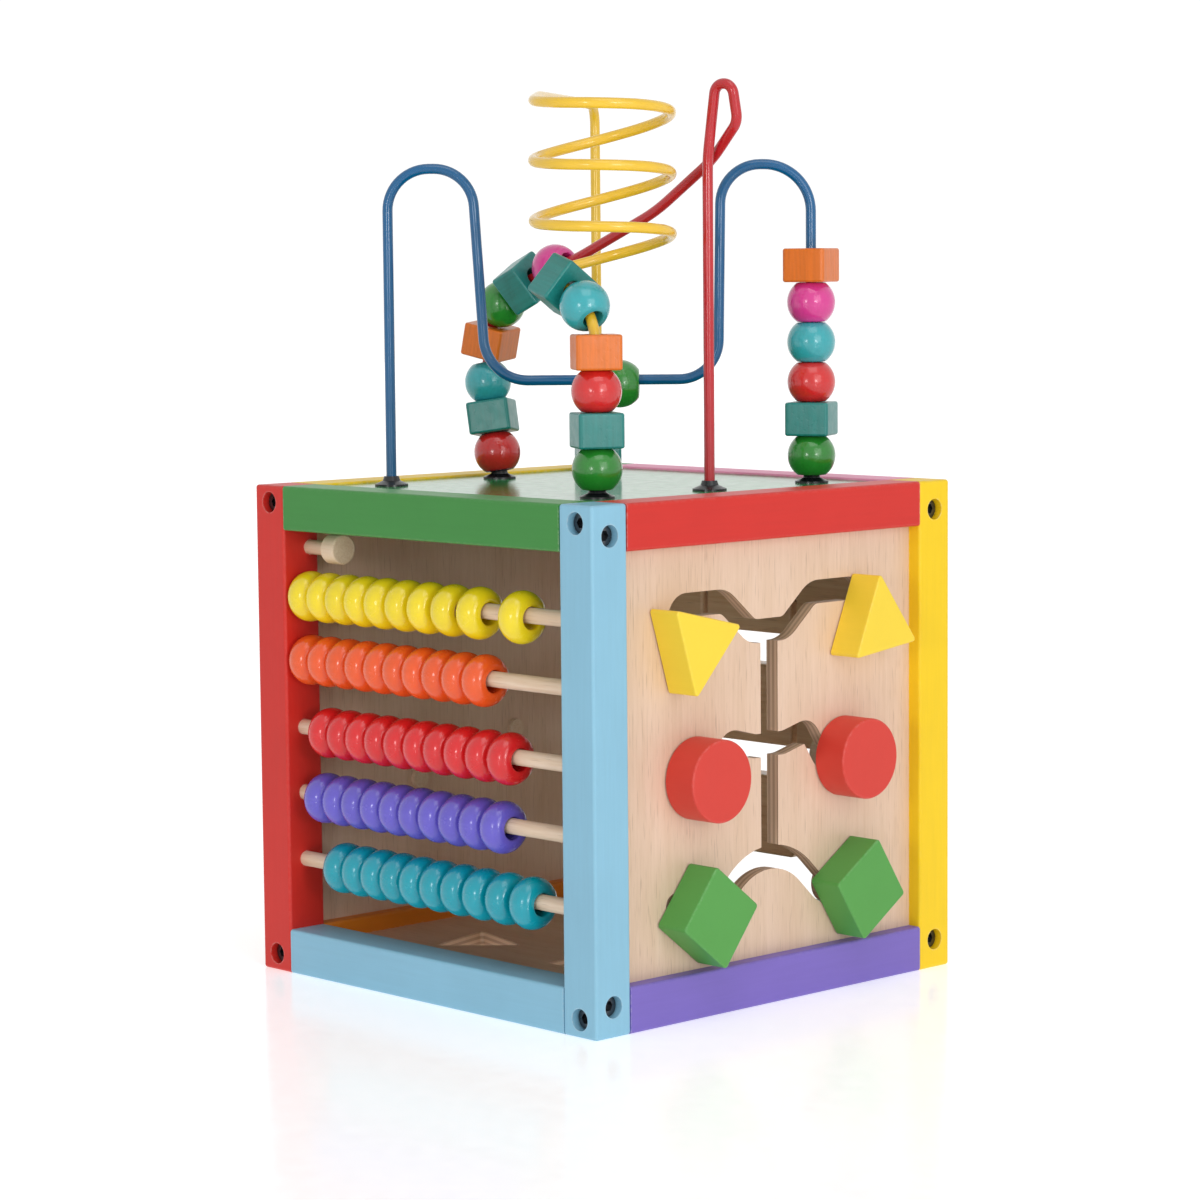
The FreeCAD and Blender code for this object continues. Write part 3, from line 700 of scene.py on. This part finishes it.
def makeTileMarks(spec):
    # printed on the outer face: a ring where the piece's tone is 0, a cross where it is 1
    group, given, result = newGroup(
        "tileMarks", [("Wood", "Color", (0.8, 0.6, 0.4, 1.0))], [("Color", "Color")])
    whole = millimetres(group)
    place = addNode(group, "ShaderNodeSeparateXYZ", {0: whole}).outputs
    normal = addNode(group, "ShaderNodeTexCoord").outputs["Normal"]
    facing = addNode(group, "ShaderNodeSeparateXYZ", {0: normal}).outputs
    x, z = place["X"], place["Z"]
    squares = [calculate(group, "POWER", side, 2.0) for side in (x, z)]
    fromMiddle = calculate(group, "SQRT", calculate(group, "ADD", *squares))
    offRing = calculate(group, "ABSOLUTE", calculate(group, "SUBTRACT", fromMiddle, spec["ringRadius"]))
    offStrokes = [calculate(group, "ABSOLUTE", calculate(group, how, x, z)) for how in ("SUBTRACT", "ADD")]
    offStroke = calculate(group, "MULTIPLY", calculate(group, "MINIMUM", *offStrokes), math.sqrt(0.5))
    reach = calculate(group, "MAXIMUM", *[calculate(group, "ABSOLUTE", side) for side in (x, z)])
    ragged = remap(group, noise(group, whole, 0.9, 3.0), *noiseRange, -spec["markRagged"], spec["markRagged"])
    width = calculate(group, "ADD", spec["markWidth"], ragged)
    soft = spec["markSoftness"]
    ring = remap(group, calculate(group, "SUBTRACT", offRing, width), soft, -soft)
    stroke = remap(group, calculate(group, "SUBTRACT", offStroke, width), soft, -soft)
    beyond = calculate(group, "SUBTRACT", reach, width)
    ends = remap(group, beyond, spec["crossReach"], spec["crossReach"] - 0.3)
    cross = calculate(group, "MULTIPLY", stroke, ends)
    outer = remap(group, facing["Y"], 0.8, 0.95)
    crossed = addNode(group, "ShaderNodeAttribute", attribute_name="tone").outputs["Fac"]
    ring = calculate(group, "MULTIPLY", ring, calculate(group, "SUBTRACT", outer, crossed, clamp=True))
    cross = calculate(group, "MULTIPLY", cross, calculate(group, "MULTIPLY", outer, crossed))
    colour = blendColours(group, ring, given["Wood"], sRgb(spec["ring"]))
    group.links.new(blendColours(group, cross, colour, sRgb(spec["cross"])), result["Color"])
    return group


def tileShape(spec, size):
    halfY, halfZ = size.y / 2, size.z / 2
    corners = [(-halfY, -halfZ), (halfY, -halfZ), (halfY, halfZ), (-halfY, halfZ)]

    def edgeRing(inset, x):
        # never quite the whole radius, so that the corner's points stay apart
        return [(x, *p) for p in roundedOutline(corners, spec["round"], inset * 0.98, 5, 6)]

    def boreRing(radius, x):
        base = roundedOutline(corners, spec["round"], 0, 5, 6)
        return [(x, *p) for p in likeCircle(base, radius)]

    half, turn, mouth = size.x / 2, spec["round"], spec["mouth"]
    rings = [boreRing(spec["bore"], half - mouth)]
    rings += [boreRing(spec["bore"] + mouth - mouth * math.cos(a), half - mouth + mouth * math.sin(a))
              for a in (0.5, 1.0, math.pi / 2)]
    rings += [edgeRing(turn - turn * math.sin(a), half - turn + turn * math.cos(a))
              for a in (0.0, 0.3, 0.6, 0.9, 1.2, math.pi / 2)]
    mirrored = [[(-x, y, z) for x, y, z in points] for points in reversed(rings)]
    return loft(rings + mirrored, closed=True)


def addTiles(spec):
    values = {"Light": sRgb(spec["light"]), "Dark": sRgb(spec["dark"]), "Along": alongX,
              "Gloss": spec["gloss"]}
    wood = newMaterial("printed tile", bareWood, values, spec["shine"], spec["bump"])
    tree = wood.node_tree
    shader = tree.nodes["Principled BSDF"]
    skin = shader.inputs["Base Color"].links[0].from_socket
    marks = addNode(tree, "ShaderNodeGroup", node_tree=makeTileMarks(spec))
    tree.links.new(skin, marks.inputs["Wood"])
    tree.links.new(marks.outputs["Color"], shader.inputs["Base Color"])
    for i, row in enumerate(("top", "middle", "bottom")):
        for j, column in enumerate(("left", "centre", "right")):
            node = f"tile_{row}_{column}"
            low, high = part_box(node)
            centre, size = (low + high) / 2, (high - low) / mm
            # every second tile is turned end for end, so that neighbours don't show the same grain
            turn = Matrix.Rotation(math.pi * ((i + j) % 2), 4, "Y")
            addPiece(f"tile_{row}_{column}_board", tileShape(spec, size), wood, node,
                     Matrix.Translation(centre) @ turn, tone=float((i * 3 + j) % 2))


say("spinning tiles")
addTiles(tileSpec)


mazeSpec = {
    "ballRadius": 9.75, "ballHeight": 16.0, "ballTip": 1.5, "brickSide": 18.0, "brickHeight": 13.6,
    "brickEdge": 1.0, "brickCorner": 1.4, "bore": 4.0, "mouth": 0.5, "sides": 64, "stackGap": 0.1,
    "beadStart": 9.2, "runDrop": 1.6,
    # corners of the blue wire as (along the diagonal, height), of the red one as (x, y, height), and the
    # radii that round them
    "blueCorners": [(-85.6, 193.0), (-85.6, 327.2), (-51.5, 327.2), (-46.3, 241.5), (47.9, 241.5),
                    (49.3, 327.8), (85.6, 327.8), (85.6, 193.0)],
    "blueBends": [16.8, 16.2, 18, 16, 16, 19],
    "redCorners": [(-62.0, 0, 193.0), (-62.0, 0, 203), (-69.6, 0, 245), (-63, 0, 271), (-44, 0, 281.5),
                   (-14, 1.5, 291), (28, 5, 309), (58, 6.5, 328.5), (75, 3.5, 343), (74.5, 1, 357.6),
                   (66.5, 0, 357.6), (62.0, 0, 329), (62.0, 0, 193.0)],
    "redBends": [12, 20, 24, 60, 90, 90, 60, 7, 4.2, 4.2, 60],
    # the yellow wire: up at the front, round the coil and down at the back; entry and exit of the coil are
    # (along the diagonal, height, in front of the diagonal)
    "yellowLow": 193.0, "yellowFront": (61.0, -60.0), "yellowRise": 268.0, "yellowBack": (-63.0, 58.0),
    "yellowTop": 356.0, "leadBends": [22, 45, 10.5], "returnBends": [90, 9],
    "coilRadius": 26.6, "coilPitch": 23.3, "coilTurns": 3, "coilSteps": 10, "coilTilt": 0.113,
    "coilCentre": (3.0, 58.9), "coilLow": 282.0, "coilBend": 24.5, "coilEntry": (-9.5, 279.0, 70.0),
    "coilExit": (-22.0, 354.0, 38.0),
    "ballGloss": 0.20, "ballGrain": 0.14, "brickGloss": 0.34, "brickGrain": 0.35, "bump": 0.00003,
    "shine": {"Specular IOR Level": 0.45, "Coat Weight": 0.4, "Coat Roughness": 0.08},
    "brickShine": {"Specular IOR Level": 0.42, "Coat Weight": 0.15, "Coat Roughness": 0.2},
    "colours": {"teal": "34a6ae", "tealStain": "1c7f79", "green": "28882a", "red": "d32626", "pink": "d93a92",
                "orange": "dd7018"},
    "slots": {"teal": "maze_teal", "tealStain": "maze_teal_stain", "green": "maze_green", "red": "maze_red",
              "pink": "maze_pink", "orange": "maze_orange"},
    # piles on the wires' feet, from the lowest bead up: kind, colour, turn about the wire
    "blueLeg": [("ball", "green", 0), ("brick", "tealStain", 28), ("ball", "red", 0), ("ball", "teal", 0),
                ("ball", "pink", 0), ("brick", "orange", 20)],
    "redLeg": [("ball", "red", 0), ("brick", "tealStain", 35), ("ball", "teal", 0)],
    "yellowLeg": [("ball", "green", 0), ("brick", "tealStain", -30), ("ball", "red", 0),
                  ("brick", "orange", -35)],
    "yellowBackLeg": [("brick", "tealStain", -34)],
    # loose beads: node, wire, kind, colour, distance along the wire, turn about the wire
    "loose": [
        ("bead_red_bend_brick", "red", "brick", "orange", 64.6, 20),
        ("bead_red_bend_ball", "red", "ball", "green", 81.9, 0),
        ("bead_red_slope_brick", "red", "brick", "tealStain", 98.6, 30),
        ("bead_red_slope_ball", "red", "ball", "pink", 117.6, 0),
        ("bead_yellow_lead_ball", "yellow", "ball", "teal", 81.8, 0),
        ("bead_yellow_lead_brick", "yellow", "brick", "tealStain", 99.0, 25),
    ],
    "blueRunBead": 288.4,
}


def bentRoute(points, radii, step=4.0):
    # straight runs through the points, joined by tangent arcs, as points in millimetres
    points = [Vector(p) for p in points]
    route = [points[0]]
    for before, corner, after, radius in zip(points, points[1:], points[2:], radii):
        back, ahead = (before - corner).normalized(), (after - corner).normalized()
        halfAngle = back.angle(ahead) / 2
        middle = corner + (back + ahead).normalized() * (radius / math.sin(halfAngle))
        arm = corner + back * (radius / math.tan(halfAngle)) - middle
        sweep = math.pi - 2 * halfAngle
        axis = arm.cross(-back)
        count = max(2, math.ceil(math.degrees(sweep) / step))
        route += [middle + Matrix.Rotation(sweep * k / count, 3, axis) @ arm for k in range(count + 1)]
    return route + [points[-1]]


def alongRoute(route, distance, fromEnd=False):
    # the point at a distance from one end of a route, and the direction away from that end
    path = list(reversed(route)) if fromEnd else route
    for a, b in zip(path, path[1:]):
        step = (b - a).length
        if distance <= step and step > 1e-6:
            return a.lerp(b, distance / step), (b - a).normalized()
        distance -= step
    raise ValueError("the route is shorter than that")


def diagonal(s, z, depth=0.0):
    # s along the diagonal from the front left corner to the back right one, depth in front of it
    return Vector(((s + depth) / math.sqrt(2), (s - depth) / math.sqrt(2), z))


def blueRoute(spec):
    return bentRoute([diagonal(s, z) for s, z in spec["blueCorners"]], spec["blueBends"])


def redRoute(spec):
    return bentRoute(spec["redCorners"], spec["redBends"])


def coilCorner(spec, step):
    turn = 2 * math.pi * step / spec["coilSteps"]
    reach = spec["coilRadius"] / math.cos(math.pi / spec["coilSteps"])
    s, depth = -reach * math.sin(turn), reach * math.cos(turn)
    climb = spec["coilPitch"] * (turn / (2 * math.pi) - 0.25) + spec["coilTilt"] * (s + spec["coilRadius"])
    return diagonal(spec["coilCentre"][0] + s, spec["coilLow"] + climb, spec["coilCentre"][1] + depth)


def yellowRoute(spec):
    front, back, low = spec["yellowFront"], spec["yellowBack"], spec["yellowLow"]
    coil = [coilCorner(spec, step) for step in range(3, spec["coilSteps"] * spec["coilTurns"] + 3)]
    points = [(*front, low), (*front, spec["yellowRise"]), diagonal(*spec["coilEntry"])] + coil
    points += [diagonal(*spec["coilExit"]), (*back, spec["yellowTop"]), (*back, low)]
    bends = spec["leadBends"] + [spec["coilBend"]] * (len(coil) - 1) + spec["returnBends"]
    return bentRoute(points, bends)


def ballShape(spec):
    radius, half, bore, mouth = spec["ballRadius"], spec["ballHeight"] / 2, spec["bore"], spec["mouth"]
    tip = math.degrees(math.asin(half / radius)) - spec["ballTip"]
    profile = arc((0, 0), (radius, radius), tip, -tip, 34)
    profile += arc((bore + mouth, -half + mouth), (mouth, mouth), -90, -180, 4)
    profile += arc((bore + mouth, half - mouth), (mouth, mouth), 180, 90, 4)
    return lathe(profile, spec["sides"])


def brickShape(spec):
    half, top, bore, mouth = spec["brickSide"] / 2, spec["brickHeight"] / 2, spec["bore"], spec["mouth"]
    edge = spec["brickEdge"]
    corners = [(-half, -half), (half, -half), (half, half), (-half, half)]

    def squareRing(inset, z):
        return [(*p, z) for p in roundedOutline(corners, spec["brickCorner"], inset, 6, 10)]

    def boreRing(radius, z):
        return [(*p, z) for p in likeCircle(roundedOutline(corners, spec["brickCorner"], 0, 6, 10), radius)]

    rings = [boreRing(r, z) for r, z in arc((bore + mouth, top - mouth), (mouth, mouth), 180, 90, 4)]
    rings += [squareRing(edge - x, top - edge + z) for x, z in arc((0, 0), (edge, edge), 90, 0, 6)]
    mirrored = [[(x, y, -z) for x, y, z in points] for points in reversed(rings)]
    return loft(rings + mirrored, closed=True)


def addMazeBeads(spec):
    routes = {"blue": blueRoute(spec), "red": redRoute(spec), "yellow": yellowRoute(spec)}
    heights = {"ball": spec["ballHeight"], "brick": spec["brickHeight"]}
    shapes = {"ball": ballShape, "brick": brickShape}
    paints = {}
    for kind in ("ball", "brick"):
        for colour, code in spec["colours"].items():
            values = {"Color": sRgb(code), "Along": alongZ, "Grain": spec[f"{kind}Grain"],
                      "Gloss": spec[f"{kind}Gloss"]}
            shine = spec["shine"] if kind == "ball" else spec["brickShine"]
            paints[kind, colour] = newMaterial(f"{colour} {kind}", lacquer, values, shine, spec["bump"])

    def thread(name, kind, colour, node, centre, direction, turn):
        facing = Vector((0, 0, 1)).rotation_difference(direction).to_matrix().to_4x4()
        place = Matrix.Translation(centre * mm) @ facing @ Matrix.Rotation(math.radians(turn), 4, "Z")
        addPiece(name, shapes[kind](spec), paints[kind, colour], node, place)

    piles = [("beads_blue_leg", "blue", "blueLeg", True), ("beads_red_leg", "red", "redLeg", False),
             ("beads_yellow_leg", "yellow", "yellowLeg", False),
             ("bead_yellow_back", "yellow", "yellowBackLeg", True)]
    for node, wire, pile, fromEnd in piles:
        lowest = spec["beadStart"] + heights[spec[pile][0][0]] / 2
        centre, upward = alongRoute(routes[wire], lowest, fromEnd)
        height = spec["beadStart"]
        for k, (kind, colour, turn) in enumerate(spec[pile]):
            middle = height + heights[kind] / 2
            place = centre + upward * (middle - lowest)
            thread(f"{pile}_{kind}_{k + 1}", kind, colour, node, place, upward, turn)
            height += heights[kind] + spec["stackGap"]
    for node, wire, kind, colour, distance, turn in spec["loose"]:
        centre, direction = alongRoute(routes[wire], distance)
        thread(f"{node}_turned", kind, colour, node, centre, direction, turn)
    centre, direction = alongRoute(routes["blue"], spec["blueRunBead"])
    hanging = centre - Vector((0, 0, spec["runDrop"]))
    thread("blueRun_ball", "ball", "green", "bead_blue_run", hanging, direction, 0)


say("bead maze")
addMazeBeads(mazeSpec)


studio = {
    "floorSize": 14.0, "floorColour": (0.90, 0.90, 0.91, 1.0), "floorGlow": 0.42, "floorGloss": 0.16,
    "floorSpecular": 0.12, "skyColour": (1.0, 1.0, 1.0, 1.0), "skySeen": 1.06, "skyLight": 0.432,
    # name, place, target, width, height, power
    "softboxes": [
        ("right softbox", (2.2, -0.5, 0.9), (0.0, 0.0, 0.20), 1.3, 1.3, 10.7),
        ("right lamp", (1.95, -0.75, 0.42), (0.0, 0.0, 0.20), 0.30, 0.34, 4.1),
        ("left lamp", (0.75, -1.95, 0.42), (0.0, 0.0, 0.20), 0.30, 0.34, 4.5),
        ("overhead softbox", (0.9, -0.5, 2.3), (0.0, 0.0, 0.15), 1.4, 1.4, 9.8),
    ],
}
cameraSpec = {
    "place": (1.0198, -0.9685, 0.2881), "target": (0.0, 0.0, 0.1497), "roll": -0.52, "sensor": 36.0,
    "lens": 103.7, "shift": (-0.002, 0.0039), "clipEnd": 50.0,
}


def lookAt(thing, place, target, roll=0.0):
    facing = (Vector(target) - Vector(place)).to_track_quat("-Z", "Y").to_matrix().to_4x4()
    thing.matrix_world = Matrix.Translation(place) @ facing @ Matrix.Rotation(math.radians(roll), 4, "Z")


def addFloor(spec):
    shape = bmesh.new()
    bmesh.ops.create_grid(shape, x_segments=8, y_segments=8, size=spec["floorSize"] / 2)
    mesh = bpy.data.meshes.new("studioFloor")
    shape.to_mesh(mesh)
    shape.free()
    values = {"Color": spec["floorColour"], "Gloss": spec["floorGloss"], "Grime": 0.0}
    shine = {"Specular IOR Level": spec["floorSpecular"], "Emission Color": (1.0, 1.0, 1.0, 1.0),
             "Emission Strength": spec["floorGlow"]}
    mesh.materials.append(newMaterial("white floor", coating, values, shine, 0.0))
    floor = bpy.data.objects.new("studioFloor", mesh)
    bpy.context.scene.collection.objects.link(floor)


def addLights(spec):
    world = bpy.data.worlds.new("studio sky")
    bpy.context.scene.world = world
    world.use_nodes = True
    tree = world.node_tree
    sky = tree.nodes["Background"]
    sky.inputs["Color"].default_value = spec["skyColour"]
    # softer on matt surfaces than where the sky itself or its reflection is seen
    diffuse = addNode(tree, "ShaderNodeLightPath").outputs["Is Diffuse Ray"]
    strength = calculate(tree, "MULTIPLY_ADD", diffuse, spec["skyLight"] - spec["skySeen"], spec["skySeen"])
    tree.links.new(strength, sky.inputs["Strength"])
    for name, place, target, width, height, power in spec["softboxes"]:
        light = bpy.data.lights.new(name, "AREA")
        light.shape = "RECTANGLE"
        light.size, light.size_y, light.energy = width, height, power
        lamp = bpy.data.objects.new(name, light)
        bpy.context.scene.collection.objects.link(lamp)
        lookAt(lamp, place, target)


def addCamera(spec):
    camera = bpy.data.cameras.new("camera")
    camera.lens, camera.sensor_width = spec["lens"], spec["sensor"]
    camera.shift_x, camera.shift_y = spec["shift"]
    camera.clip_end = spec["clipEnd"]
    holder = bpy.data.objects.new("camera", camera)
    bpy.context.scene.collection.objects.link(holder)
    lookAt(holder, spec["place"], spec["target"], spec["roll"])
    bpy.context.scene.camera = holder


say("floor, light and camera")
addFloor(studio)
addLights(studio)
addCamera(cameraSpec)
bpy.context.scene.view_settings.view_transform = "Standard"

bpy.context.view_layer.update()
say("done")
